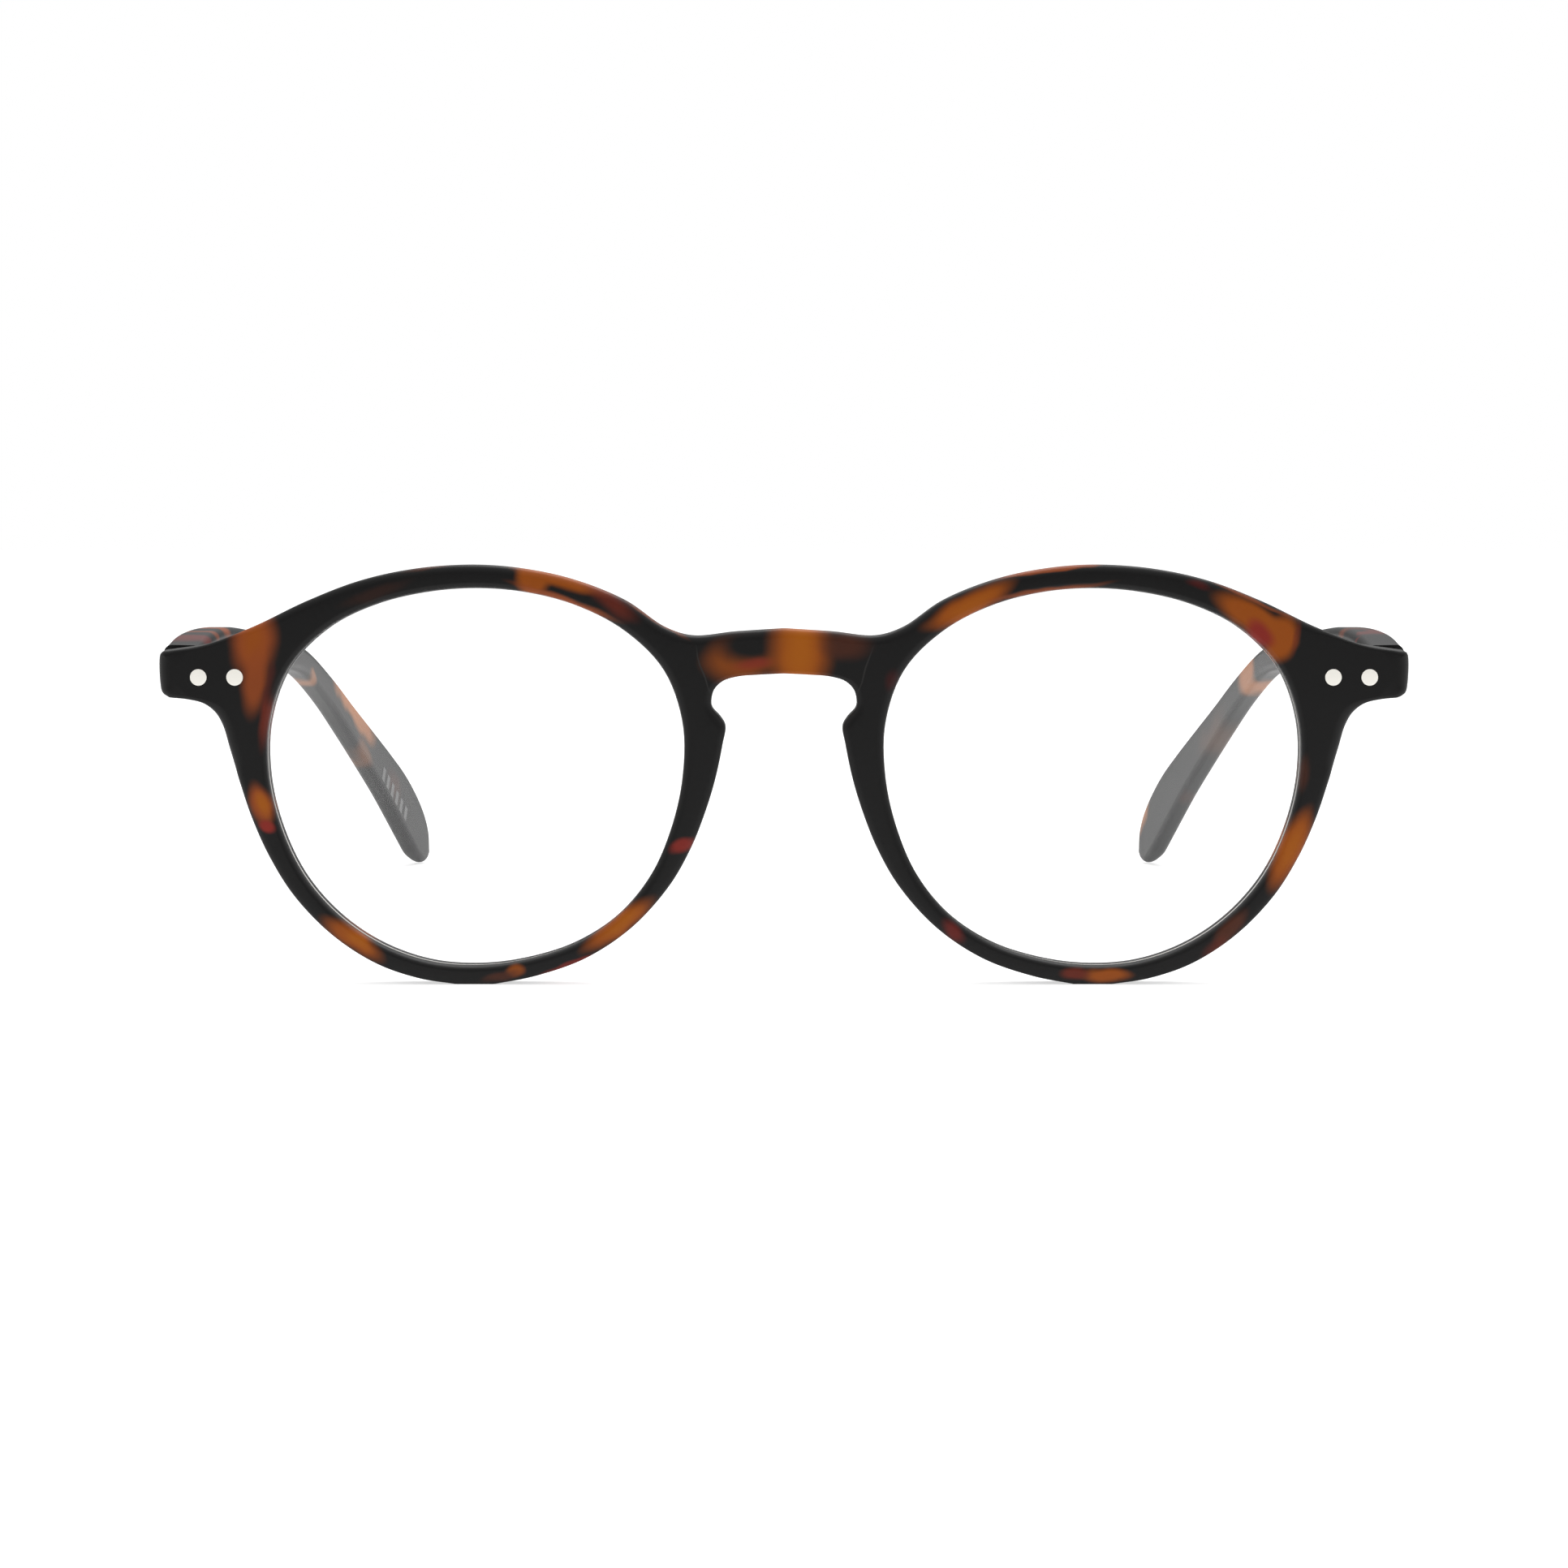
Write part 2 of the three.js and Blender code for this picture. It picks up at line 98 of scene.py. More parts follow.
# The temple's upper and lower edges: depth and height.
TEMPLE_TOP = [
    (4, 38), (8, 38.42), (12, 39.2), (18, 39.7), (25, 39.75), (34, 39.2), (44, 38.3), (54.1, 37.45),
    (62.2, 36.8), (70.3, 35.65), (78.5, 33.85), (90.7, 30.15), (101.9, 26), (112.2, 22), (122.1, 17.8),
    (129.5, 14.2), (135.8, 10), (139, 6.9), (140.1, 4.8), (140.2, 3.4), (140.15, 2.4),
]
TEMPLE_BOTTOM = [
    (4, 32.75), (8, 32.75), (12, 32.75), (18, 32.75), (25, 32.75), (34, 32.75), (44, 32.8), (53.9, 32.95),
    (61.8, 32.85), (69.7, 32.1), (77.5, 30.3), (89.3, 26.3), (100.1, 21.55), (109.8, 16.75), (118.9, 11.8),
    (125.5, 7.7), (131.2, 3.95), (135.2, 1.35), (137.9, 0.15), (139.1, 0.25), (139.8, 0.9),
]
FACE_DEPTH = 0.03
RIM_DEPTH = 3.5
END_DEPTH = 6.2
END_FLARE = 0.65
GROOVE_FRONT, GROOVE_BACK, GROOVE_SINK = 1, 2.5, 0.75
LENS_FRONT, LENS_BACK = 1.12, 2.38
LENS_GAP = 0.04
LENS_SCALES = (0.06, 0.2, 0.35, 0.5, 0.65, 0.8, 0.92, 0.985)
AXIS_X, AXIS_DEPTH, HINGE_Z = 65.5, 8.1, 34.9
KNUCKLE_RADIUS, KNUCKLE_HEIGHT = 1.3, 1.3
TEMPLE_ROUND = 0.95
CAMERA_AWAY, CAMERA_HEIGHT, AIM_HEIGHT = 400, 54, 22.84
SIDES = (("left", 1), ("right", -1))


# ---- meshes

def catmull(knots, steps, closed=False):
    """A centripetal Catmull-Rom curve through the knots, with steps points for each gap."""
    knots = [np.array(k, float) for k in knots]
    n = len(knots)
    out = []
    for i in range(n if closed else n - 1):
        p1, p2 = knots[i], knots[(i + 1) % n]
        p0 = knots[i - 1] if closed or i else 2 * p1 - p2
        p3 = knots[(i + 2) % n] if closed or i + 2 < n else 2 * p2 - p1
        d0, d1, d2 = (max(np.linalg.norm(b - a), 1e-6) ** 0.5 for a, b in ((p0, p1), (p1, p2), (p2, p3)))
        t1 = ((p1 - p0) / d0 - (p2 - p0) / (d0 + d1) + (p2 - p1) / d1) * d1
        t2 = ((p2 - p1) / d1 - (p3 - p1) / (d1 + d2) + (p3 - p2) / d2) * d1
        for t in np.arange(steps) / steps:
            cubic = (3 * (p2 - p1) - 2 * t1 - t2) * t * t + (2 * (p1 - p2) + t1 + t2) * t ** 3
            out.append(p1 + t1 * t + cubic)
    if not closed:
        out.append(knots[-1])
    return np.array(out)


def evenly(loop, spacing):
    """The closed loop again, with its points the same distance apart."""
    ends = np.vstack([loop, loop[:1]])
    along = np.concatenate([[0], np.cumsum(np.linalg.norm(np.diff(ends, axis=0), axis=1))])
    at = np.linspace(0, along[-1], max(int(along[-1] / spacing), 8), endpoint=False)
    return np.column_stack([np.interp(at, along, ends[:, k]) for k in range(2)])


def outward(loop):
    """Unit normals pointing out of an anticlockwise loop."""
    tangent = np.roll(loop, -1, axis=0) - np.roll(loop, 1, axis=0)
    tangent /= np.linalg.norm(tangent, axis=1)[:, None]
    return np.column_stack([tangent[:, 1], -tangent[:, 0]])


def front_outline():
    half = np.vstack([
        catmull(TOP_EDGE, 12), catmull(END_EDGE, 10)[1:], catmull(LOWER_EDGE, 12)[1:], catmull(NOSE_EDGE, 12),
    ])
    other = half[1:-1][::-1] * (-1, 1)
    return evenly(np.vstack([half, other])[::-1], 0.36)


def eye_outline(side, count=160):
    angles = np.radians(15 * np.arange(24))
    radii = np.array(EYE_RADII)
    knots = np.column_stack([radii * np.cos(angles), radii * np.sin(angles)])
    loop = catmull(knots, 12, closed=True)
    loop = evenly(loop, np.linalg.norm(np.diff(loop, axis=0), axis=1).sum() / count) + EYE_CENTRE
    return loop if side > 0 else (loop * (-1, 1))[::-1]


def edge_rounding(loop, wanted):
    """How far the rounded edge reaches in from each point, less where the outline turns tightly."""
    step = np.linalg.norm(np.roll(loop, -1, axis=0) - loop, axis=1).mean()
    normal = outward(loop)
    turn = np.roll(normal, -2, axis=0) - np.roll(normal, 2, axis=0)
    along = np.column_stack([-normal[:, 1], normal[:, 0]])
    curve = (turn * along).sum(axis=1) / (4 * step)
    reach = np.minimum(wanted, 0.8 / np.maximum(curve, 1e-3))
    for _ in range(4):
        reach = np.minimum(reach, (np.roll(reach, 1) + np.roll(reach, -1)) / 2 + 0.05)
    for _ in range(4):
        reach = (np.roll(reach, 1) + reach + np.roll(reach, -1)) / 3
    return reach


def ring(loop, depth):
    return np.column_stack([loop[:, 0], np.broadcast_to(depth, len(loop)) + FRONT_Y, loop[:, 1]])


def quads(first, second, count):
    """Faces between two rings of vertices that start at these numbers."""
    return [(first + i, first + (i + 1) % count, second + (i + 1) % count, second + i) for i in range(count)]


def tube(rings, start=0):
    """Faces between rings one after another, whose vertices begin at this number."""
    count = len(rings[0])
    faces = []
    for i in range(len(rings) - 1):
        faces += quads(start + i * count, start + (i + 1) * count, count)
    return faces


def in_scene(name, data):
    piece = bpy.data.objects.new(name, data)
    bpy.context.scene.collection.objects.link(piece)
    return piece


def cad_size(node):
    """The node's range across, in depth and in height."""
    low, high = (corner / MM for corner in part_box(node))
    return (low.x, high.x), (low.y - FRONT_Y, high.y - FRONT_Y), (low.z, high.z)


def new_object(name, vertices, faces, weld=1e-8):
    mesh = bpy.data.meshes.new(name)
    mesh.from_pydata([tuple(v) for v in np.asarray(vertices) * MM], [], [tuple(f) for f in faces])
    mesh.validate()
    bm = bmesh.new()
    bm.from_mesh(mesh)
    bmesh.ops.remove_doubles(bm, verts=bm.verts, dist=weld)
    bmesh.ops.recalc_face_normals(bm, faces=bm.faces)
    bm.to_mesh(mesh)
    bm.free()
    return in_scene(name, mesh)


def loft(name, rings):
    """A closed mesh through rings of points, with a fan at each end."""
    count = len(rings[0])
    vertices = [p for r in rings for p in r]
    faces = tube(rings)
    for start in (0, (len(rings) - 1) * count):
        middle = len(vertices)
        vertices.append(np.mean(rings[start // count], axis=0))
        faces += [(middle, start + i, start + (i + 1) % count) for i in range(count)]
    return new_object(name, vertices, faces)


def join(name, pieces):
    bm = bmesh.new()
    for piece in pieces:
        bm.from_mesh(piece.data)
    mesh = bpy.data.meshes.new(name)
    bm.to_mesh(mesh)
    bm.free()
    for piece in pieces:
        bpy.data.objects.remove(piece)
    return in_scene(name, mesh)


def mirror(piece):
    piece.data.transform(Matrix.Scale(-1, 4, (1, 0, 0)))
    piece.data.flip_normals()
    return piece


def placed(piece, side):
    return piece if side > 0 else mirror(piece)


def cut(piece, cutters):
    """Takes the cutters' shapes out of the piece."""
    for cutter in cutters:
        tool = piece.modifiers.new("cut", "BOOLEAN")
        tool.operation = "DIFFERENCE"
        tool.solver = "EXACT"
        tool.object = cutter
        bpy.context.view_layer.update()
        shaped = piece.evaluated_get(bpy.context.evaluated_depsgraph_get())
        mesh = bpy.data.meshes.new_from_object(shaped)
        piece.modifiers.clear()
        piece.data = mesh
    for cutter in cutters:
        bpy.data.objects.remove(cutter)
    return piece


def smooth(piece, angle=35):
    """Smooth shading that keeps flat faces flat and breaks at edges sharper than angle."""
    bm = bmesh.new()
    bm.from_mesh(piece.data)
    for face in bm.faces:
        face.smooth = True
    for edge in bm.edges:
        edge.smooth = not (edge.is_manifold and edge.calc_face_angle(0) > math.radians(angle))
    bm.to_mesh(piece.data)
    bm.free()
    weighted = piece.modifiers.new("flat_faces_flat", "WEIGHTED_NORMAL")
    weighted.keep_sharp = True
    return piece


def rounded_box(name, x, depth, z, edge=0.12, segments=3):
    bm = bmesh.new()
    bmesh.ops.create_cube(bm, size=1)
    size = [b - a for a, b in (x, depth, z)]
    middle = [(a + b) / 2 for a, b in (x, depth, z)]
    for vertex in bm.verts:
        spot = [vertex.co[k] * size[k] + middle[k] for k in range(3)]
        vertex.co = Vector((spot[0], spot[1] + FRONT_Y, spot[2])) * MM
    if edge:
        bmesh.ops.bevel(
            bm, geom=bm.edges[:], offset=edge * MM, segments=segments, profile=0.5, affect="EDGES",
        )
    mesh = bpy.data.meshes.new(name)
    bm.to_mesh(mesh)
    bm.free()
    return in_scene(name, mesh)


def turned(name, profile, centre, upright=True, sides=56):
    """A solid of revolution: profile is (radius, distance along the axis), upright or running back."""
    rings = []
    for radius, along in profile:
        angles = 2 * np.pi * np.arange(sides) / sides
        u, v = radius * np.cos(angles), radius * np.sin(angles)
        flat = np.full(sides, float(along))
        if upright:
            rings.append(np.column_stack([centre[0] + u, centre[1] + v + FRONT_Y, flat]))
        else:
            rings.append(np.column_stack([centre[0] + u, flat + FRONT_Y, centre[1] + v]))
    return loft(name, rings)


def rod(name, radius, start, end, centre, upright=True, edge=0.08, sides=56):
    quarter = (0, 0.52, 1.05, 1.57)
    rounds = [(radius - edge * (1 - math.sin(a)), edge * (1 - math.cos(a))) for a in quarter]
    profile = [(r, start + d) for r, d in rounds] + [(r, end - d) for r, d in rounds[::-1]]
    return turned(name, profile, centre, upright, sides)


# ---- the front

QUARTER = np.linspace(0, np.pi / 2, 6)


def ease(value, low, high):
    t = np.clip((value - low) / (high - low), 0, 1)
    return t * t * (3 - 2 * t)


def face_depth(x):
    return np.full(len(x), FACE_DEPTH)


def back_depth(x):
    """How far back the front reaches: the rim's depth, growing to the end piece's."""
    return RIM_DEPTH + (END_DEPTH - RIM_DEPTH) * ease(np.abs(x), 59.3, 61.7)


def fill(rings, depth_of, extra=()):
    """A cap between the outer ring and the rings round the openings, as vertices and triangles."""
    points = np.vstack([*rings, *([np.array(extra)] if len(extra) else [])])
    edges, start = [], 0
    for loop in rings:
        edges += [(start + i, start + (i + 1) % len(loop)) for i in range(len(loop))]
        start += len(loop)
    made = delaunay_2d_cdt([Vector(p) for p in points], edges, [], 0, 1e-5)
    flat = np.array([tuple(v) for v in made[0]])
    triangles = [tuple(t) for t in made[2]]
    middle = np.array([flat[list(t)].mean(axis=0) for t in triangles])
    keep = inside(middle, rings[0])
    for hole in rings[1:]:
        keep &= ~inside(middle, hole)
    kept = [t for t, good in zip(triangles, keep) if good]
    return ring(flat, depth_of(flat[:, 0])), kept


def inside(points, loop):
    x, z = points[:, 0][:, None], points[:, 1][:, None]
    (x0, z0), (x1, z1) = loop.T, np.roll(loop, -1, axis=0).T
    crosses = (z0 > z) != (z1 > z)
    with np.errstate(divide="ignore", invalid="ignore"):
        at = x0 + (z - z0) * (x1 - x0) / (z1 - z0)
    return (crosses & (x < at)).sum(axis=1) % 2 == 1


def nose_pad():
    line = catmull(PAD_LINE, 6)
    rings = []
    for z, x, rise in line:
        plan = catmull([
            (0.15, 2.6), (0.15, 3.2), (0.6 + 0.1 * rise, 3.5 + 0.75 * rise), (1.2, 3.5 + rise),
            (1.9, 3.5 + 0.95 * rise), (2.5, 3.4), (2.5, 2.6),
        ], 5)
        rings.append(np.column_stack([x + plan[:, 0], plan[:, 1] + FRONT_Y, np.full(len(plan), z)]))
    return loft("nose_pad", rings)


def rim_rings(outer):
    """The front's outside from the face to the back. Its front edge is broad where it faces sideways
    or up, and crisp below."""
    out = outward(outer)
    across = np.abs(outer[:, 0])
    sideways = ease(np.abs(out[:, 0]), 0.4, 0.9)
    up = np.maximum(out[:, 1], 0) * (1 - ease(across, 58, 63))
    front_reach = edge_rounding(outer, 0.4 + sideways * np.where(across > 62, 0.9, 0.4) + 0.7 * up)
    front_drop = (0.75 - 0.23 * up) * front_reach
    back_reach = edge_rounding(outer, np.where(across > 60, 0.15, 0.55))
    rings = []
    for a in QUARTER:
        flat = outer - out * (front_reach * (1 - math.sin(a)))[:, None]
        rings.append(ring(flat, FACE_DEPTH + front_drop * (1 - math.cos(a))))
    for a in QUARTER[::-1]:
        flat = outer - out * (back_reach * (1 - math.sin(a)))[:, None]
        rings.append(ring(flat, back_depth(flat[:, 0]) - back_reach * (1 - math.cos(a))))
    return rings


def opening_rings(side):
    """The opening's wall from the face to the back, with the groove that holds the lens."""
    eye = eye_outline(side)
    away = outward(eye)
    drop, back_round = 0.65, 0.15
    reach = drop + 0.3 * ease(-side * away[:, 0], 0.3, 1)
    rings = []
    for a in QUARTER:
        flat = eye + away * (reach * (1 - math.sin(a)))[:, None]
        rings.append(ring(flat, FACE_DEPTH + drop * (1 - math.cos(a))))
    lip = 0.02
    middle = (GROOVE_FRONT + GROOVE_BACK) / 2
    wall = [
        (0, GROOVE_FRONT - lip), (0, GROOVE_FRONT), (lip, GROOVE_FRONT + lip), (GROOVE_SINK, middle),
        (lip, GROOVE_BACK - lip), (0, GROOVE_BACK), (0, GROOVE_BACK + lip),
    ]
    for a in QUARTER[::-1]:
        wall.append((back_round * (1 - math.sin(a)), RIM_DEPTH - back_round * (1 - math.cos(a))))
    return rings + [ring(eye + away * inset, depth) for inset, depth in wall]


def ramp_points(outer):
    """Extra points for the back, where the rims' depth grows to the end pieces'."""
    limit = evenly(outer - outward(outer) * 0.8, 0.5)
    across, heights = np.arange(59, 62.1, 0.3), np.arange(30, 41.5, 0.6)
    spots = [(side * x, z) for side in (1, -1) for x in across for z in heights]
    return [spot for spot in spots if inside(np.array([spot]), limit)[0]]


def make_front():
    outer = front_outline()
    rings = rim_rings(outer)
    vertices, faces = list(np.vstack(rings)), tube(rings)
    front_loops, back_loops = [rings[0][:, [0, 2]]], [rings[-1][:, [0, 2]]]
    for side in (1, -1):
        eye_rings = opening_rings(side)
        faces += tube(eye_rings, len(vertices))
        vertices += list(np.vstack(eye_rings))
        front_loops.append(eye_rings[0][:, [0, 2]])
        back_loops.append(eye_rings[-1][:, [0, 2]])
    back = (back_loops, back_depth, ramp_points(outer))
    for loops, depth_of, extra in ((front_loops, face_depth, ()), back):
        start = len(vertices)
        cap, triangles = fill(loops, depth_of, extra)
        vertices += list(cap)
        faces += [tuple(start + i for i in t) for t in triangles]
    vertices = np.array(vertices)
    x, depth = vertices[:, 0], vertices[:, 1] - FRONT_Y
    vertices[:, 0] += np.sign(x) * END_FLARE * ease(np.abs(x), 62, 70.4) * depth / END_DEPTH
    shell = new_object("shell", vertices, faces, weld=2e-6)
    return smooth(join("front_frame", [shell, nose_pad(), mirror(nose_pad())]), 40)


def make_lens():
    """A weak magnifying lens. The bevel that sits in the groove takes the second material, a frosted grey
    with a painted glow.
    """
    eye = eye_outline(1, 144)
    away = outward(eye)
    centre = np.array(EYE_CENTRE)
    face = eye - away * LENS_GAP
    front_bulge, back_bulge = 0.9, 0.45
    rings = [ring(centre + (face - centre) * s, LENS_FRONT - front_bulge * (1 - s * s)) for s in LENS_SCALES]
    bevel = ((-LENS_GAP, LENS_FRONT), (0.6, 1.75), (0.055, 2.286), (-LENS_GAP, LENS_BACK))
    rings += [ring(eye + away * inset, depth) for inset, depth in bevel]
    for s in LENS_SCALES[::-1]:
        rings.append(ring(centre + (face - centre) * s, LENS_BACK - back_bulge * (1 - s * s)))
    lens = loft("lens", rings)
    for polygon in lens.data.polygons:
        depths = [lens.data.vertices[i].co.y / MM - FRONT_Y for i in polygon.vertices]
        nearest, furthest = min(depths), max(depths)
        on_bevel = nearest > 1.1 and furthest < 2.3 and furthest - nearest > 0.5
        polygon.material_index = int(on_bevel)
    return smooth(lens, 30)


# ---- the temples

def inner_face(depth):
    """How far across the temple's inner face is. It curves inwards over the rear half."""
    past = np.maximum(0, depth - 70)
    return 66.7 - 0.053 * (depth - 8) - 0.00112 * past * past


def thickness(depth):
    blade = 3 - 0.4 * ease(depth, 60, 135) + 1.45 * (1 - ease(depth, 8, 45))
    return blade + (1.6 - blade) * ease(depth, 136.5, 141)


def temple_section(height, thick):
    """A rectangle with round corners, as (up, out) from its middle."""
    turn = min(TEMPLE_ROUND, 0.45 * height)
    points = []
    for up, out, start in ((1, 1, 0), (1, -1, 90), (-1, -1, 180), (-1, 1, 270)):
        for angle in np.radians(start + np.linspace(0, 90, 7)):
            points.append((
                up * (height / 2 - turn) + turn * math.sin(angle),
                out * (thick / 2 - turn) + turn * math.cos(angle),
            ))
    return np.array(points)


def make_temple():
    """A blade cut square in front, with room for the knuckles and a pocket for the housing."""
    rings = []
    for top, bottom in zip(catmull(TEMPLE_TOP, 6), catmull(TEMPLE_BOTTOM, 6)):
        middle, across = (top + bottom) / 2, top - bottom
        height = np.linalg.norm(across)
        thick = thickness(middle[0])
        section = temple_section(height, thick)
        depth, z = (middle + section[:, :1] * across / height).T
        rings.append(np.column_stack([inner_face(depth) + thick / 2 + section[:, 1], depth + FRONT_Y, z]))
    blank = loft("temple", rings)
    relief_x, relief_back = AXIS_X + 1.5, AXIS_DEPTH + 1.5
    butt = [(60, 0), (74, 0), (74, 7.6), (relief_x, 6.65), (60, 6.65)]
    relief = [(60, 4), (relief_x, 4), (relief_x, relief_back), (60, relief_back)]
    cutters = []
    for plan, top in ((butt, 44), (relief, HINGE_Z + 2.9)):
        cutters.append(loft("cutter", [np.array([(x, d + FRONT_Y, z) for x, d in plan]) for z in (28, top)]))
    (_, outside), (front, back), (bottom, top) = cad_size("left_hinge_housing")
    gap = 0.05
    height = (bottom - gap, top + gap)
    pocket = rounded_box("pocket", (60, outside + gap), (front - 1.05, back + gap), height, edge=0)
    return smooth(cut(blank, [*cutters, pocket]), 40)


# ---- the hinges

def make_leaf():
    """A plate on the front's back with two knuckles, each on a web."""
    across, (front, _), (bottom, top) = cad_size("left_hinge_leaf")
    plate_back, half_height = front + 0.8, 1.95
    plate_range = (HINGE_Z - half_height, HINGE_Z + half_height)
    parts = [rounded_box("plate", across, (front, plate_back), plate_range, 0.14)]
    web_x, web_depth = (AXIS_X - KNUCKLE_RADIUS, AXIS_X + 0.7), (plate_back - 0.15, AXIS_DEPTH)
    for low in (bottom, top - KNUCKLE_HEIGHT):
        high = low + KNUCKLE_HEIGHT
        parts.append(rounded_box("web", web_x, web_depth, (low, high), 0.06))
        parts.append(rod("knuckle", KNUCKLE_RADIUS, low, high, (AXIS_X, AXIS_DEPTH)))
    return smooth(join("hinge_leaf", parts))


def make_screw():
    (near, far), _, (bottom, top) = cad_size("left_hinge_screw")
    under = top - 0.53
    shank_radius, half_slot, slot_drop = 0.7, 0.16, 0.25
    head = rod("head", (far - near) / 2, under, top, (AXIS_X, AXIS_DEPTH), edge=0.2)
    slot_depth = (AXIS_DEPTH - half_slot, AXIS_DEPTH + half_slot)
    slot = rounded_box("slot", (near - 1, far + 1), slot_depth, (top - slot_drop, top + 1), 0)
    shank = rod("shank", shank_radius, bottom, under + 0.1, (AXIS_X, AXIS_DEPTH), edge=0.15)
    return smooth(join("hinge_screw", [cut(head, [slot]), shank]))


def make_housing():
    """A round-edged case bored for the spring, with a narrower hole for the slider in its front wall."""
    body = rounded_box("case", *cad_size("left_hinge_housing"), 0.45, 5)
    hole, room, wall_back = 0.46, 1, 10.45
    bore = [(hole, 9), (hole, wall_back), (room, wall_back), (room, 24)]
    return smooth(cut(body, [turned("bore", bore, (AXIS_X, HINGE_Z), upright=False, sides=32)]))


def make_rivet(place):
    (near, far), (front, back), _ = cad_size(f"left_{place}_rivet")
    centre = ((near + far) / 2, HINGE_Z)
    head_radius, head_back, shank_radius, shank_front = 0.94, 0.6, 0.6, 0.3
    head = rod("head", head_radius, front, head_back, centre, upright=False, edge=0.05)
    shank = rod("shank", shank_radius, shank_front, back, centre, upright=False, edge=0.02, sides=24)
    return smooth(join("rivet", [head, shank]))


def make_spring(node):
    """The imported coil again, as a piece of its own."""
    return in_scene(node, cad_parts[node].data.copy())


def make_bars():
    """A plain row of bars printed inside the right temple's tip."""
    start, along = np.array([116.4, 15.45]), np.array([0.86, -0.51])
    up = np.array([0.51, 0.86])
    count, spacing, width, half = 6, 2.6, 1.3, 1
    bars = []
    for i in range(count):
        corner = start + along * spacing * i
        corners = ((0, -half), (width, -half), (width, half), (0, half))
        flat = [corner + along * a + up * b for a, b in corners]
        skins = [
            np.array([(inner_face(d) + lift, d + FRONT_Y, z) for d, z in flat]) for lift in (-0.02, 0.06)
        ]
        bars.append(loft("bar", skins))
    return mirror(join("bars", bars))


# ---- materials

def nodes_of(name):
    material = bpy.data.materials.new(name)
    material.use_nodes = True
    tree = material.node_tree
    return material, tree, tree.nodes["Principled BSDF"]


def add(tree, kind, **values):
    node = tree.nodes.new(kind)
    for key, value in values.items():
        setattr(node, key, value)
    return node


def fine_bump(tree, shader, scale, strength, distance=0.00005):
    place = add(tree, "ShaderNodeTexCoord")
    noise = add(tree, "ShaderNodeTexNoise")
    noise.inputs["Scale"].default_value = scale
    noise.inputs["Detail"].default_value = 3
    bump = add(tree, "ShaderNodeBump")
    bump.inputs["Strength"].default_value = strength
    bump.inputs["Distance"].default_value = distance
    tree.links.new(place.outputs["Object"], noise.inputs["Vector"])
    tree.links.new(noise.outputs["Fac"], bump.inputs["Height"])
    tree.links.new(bump.outputs["Normal"], shader.inputs["Normal"])


def wandering(tree, waver, fineness):
    """Places on the object, shifted by a noise of this fineness up to half of waver, in metres."""
    place = add(tree, "ShaderNodeTexCoord")
    noise = add(tree, "ShaderNodeTexNoise")
    noise.inputs["Scale"].default_value = fineness
    noise.inputs["Detail"].default_value = 1.5
    centred = add(tree, "ShaderNodeVectorMath", operation="SUBTRACT")
    centred.inputs[1].default_value = (0.5, 0.5, 0.5)
    shift = add(tree, "ShaderNodeVectorMath", operation="SCALE")
    shift.inputs["Scale"].default_value = waver
    moved = add(tree, "ShaderNodeVectorMath", operation="ADD")
    tree.links.new(place.outputs["Object"], noise.inputs["Vector"])
    tree.links.new(noise.outputs["Color"], centred.inputs[0])
    tree.links.new(centred.outputs[0], shift.inputs[0])
    tree.links.new(place.outputs["Object"], moved.inputs[0])
    tree.links.new(shift.outputs[0], moved.inputs[1])
    return moved.outputs[0]


def cloud(tree, spot, blob, across, under):
    """A patch of colour over the colour under it. A blob is its centre and half sizes in the plane
    square to across, its tilt in degrees, colour, softness and strength."""
    u, v, half_u, half_v, tilt, shade, soft, strength = blob
    mapping = add(tree, "ShaderNodeMapping", vector_type="TEXTURE")
    if across == "Y":
        mapping.inputs["Location"].default_value = (u * MM, 0, v * MM)
        mapping.inputs["Rotation"].default_value = (0, -math.radians(tilt), 0)
        mapping.inputs["Scale"].default_value = (half_u * MM, 1, half_v * MM)
    else:
        mapping.inputs["Location"].default_value = (0, (u + FRONT_Y) * MM, v * MM)
        mapping.inputs["Rotation"].default_value = (math.radians(tilt), 0, 0)
        mapping.inputs["Scale"].default_value = (1, half_u * MM, half_v * MM)
    length = add(tree, "ShaderNodeVectorMath", operation="LENGTH")
    mask = add(tree, "ShaderNodeMapRange", interpolation_type="SMOOTHSTEP")
    mask.inputs["From Min"].default_value = 1 + soft
    mask.inputs["From Max"].default_value = 1 - soft
    mask.inputs["To Max"].default_value = strength
    mix = add(tree, "ShaderNodeMix", data_type="RGBA")
    mix.inputs["B"].default_value = (*shade, 1)
    tree.links.new(spot, mapping.inputs["Vector"])
    tree.links.new(mapping.outputs[0], length.inputs[0])
    tree.links.new(length.outputs["Value"], mask.inputs["Value"])
    tree.links.new(mask.outputs["Result"], mix.inputs["Factor"])
    tree.links.new(under, mix.inputs["A"])
    return mix.outputs["Result"]


def tortoise(name, blobs, across, waver, fineness):
    """Matt black plastic with soft amber and red clouds whose edges wander."""
    material, tree, shader = nodes_of(name)
    spot = wandering(tree, waver, fineness)
    black = add(tree, "ShaderNodeRGB")
    black.outputs[0].default_value = (*BLACK, 1)
    colour = black.outputs[0]
    for blob in blobs:
        colour = cloud(tree, spot, blob, across, colour)
    tree.links.new(colour, shader.inputs["Base Color"])
    shader.inputs["Roughness"].default_value = 0.42
    shader.inputs["IOR"].default_value = 1.48
    shader.inputs["Specular IOR Level"].default_value = 0.22
    fine_bump(tree, shader, 2600, 0.12)
    return material


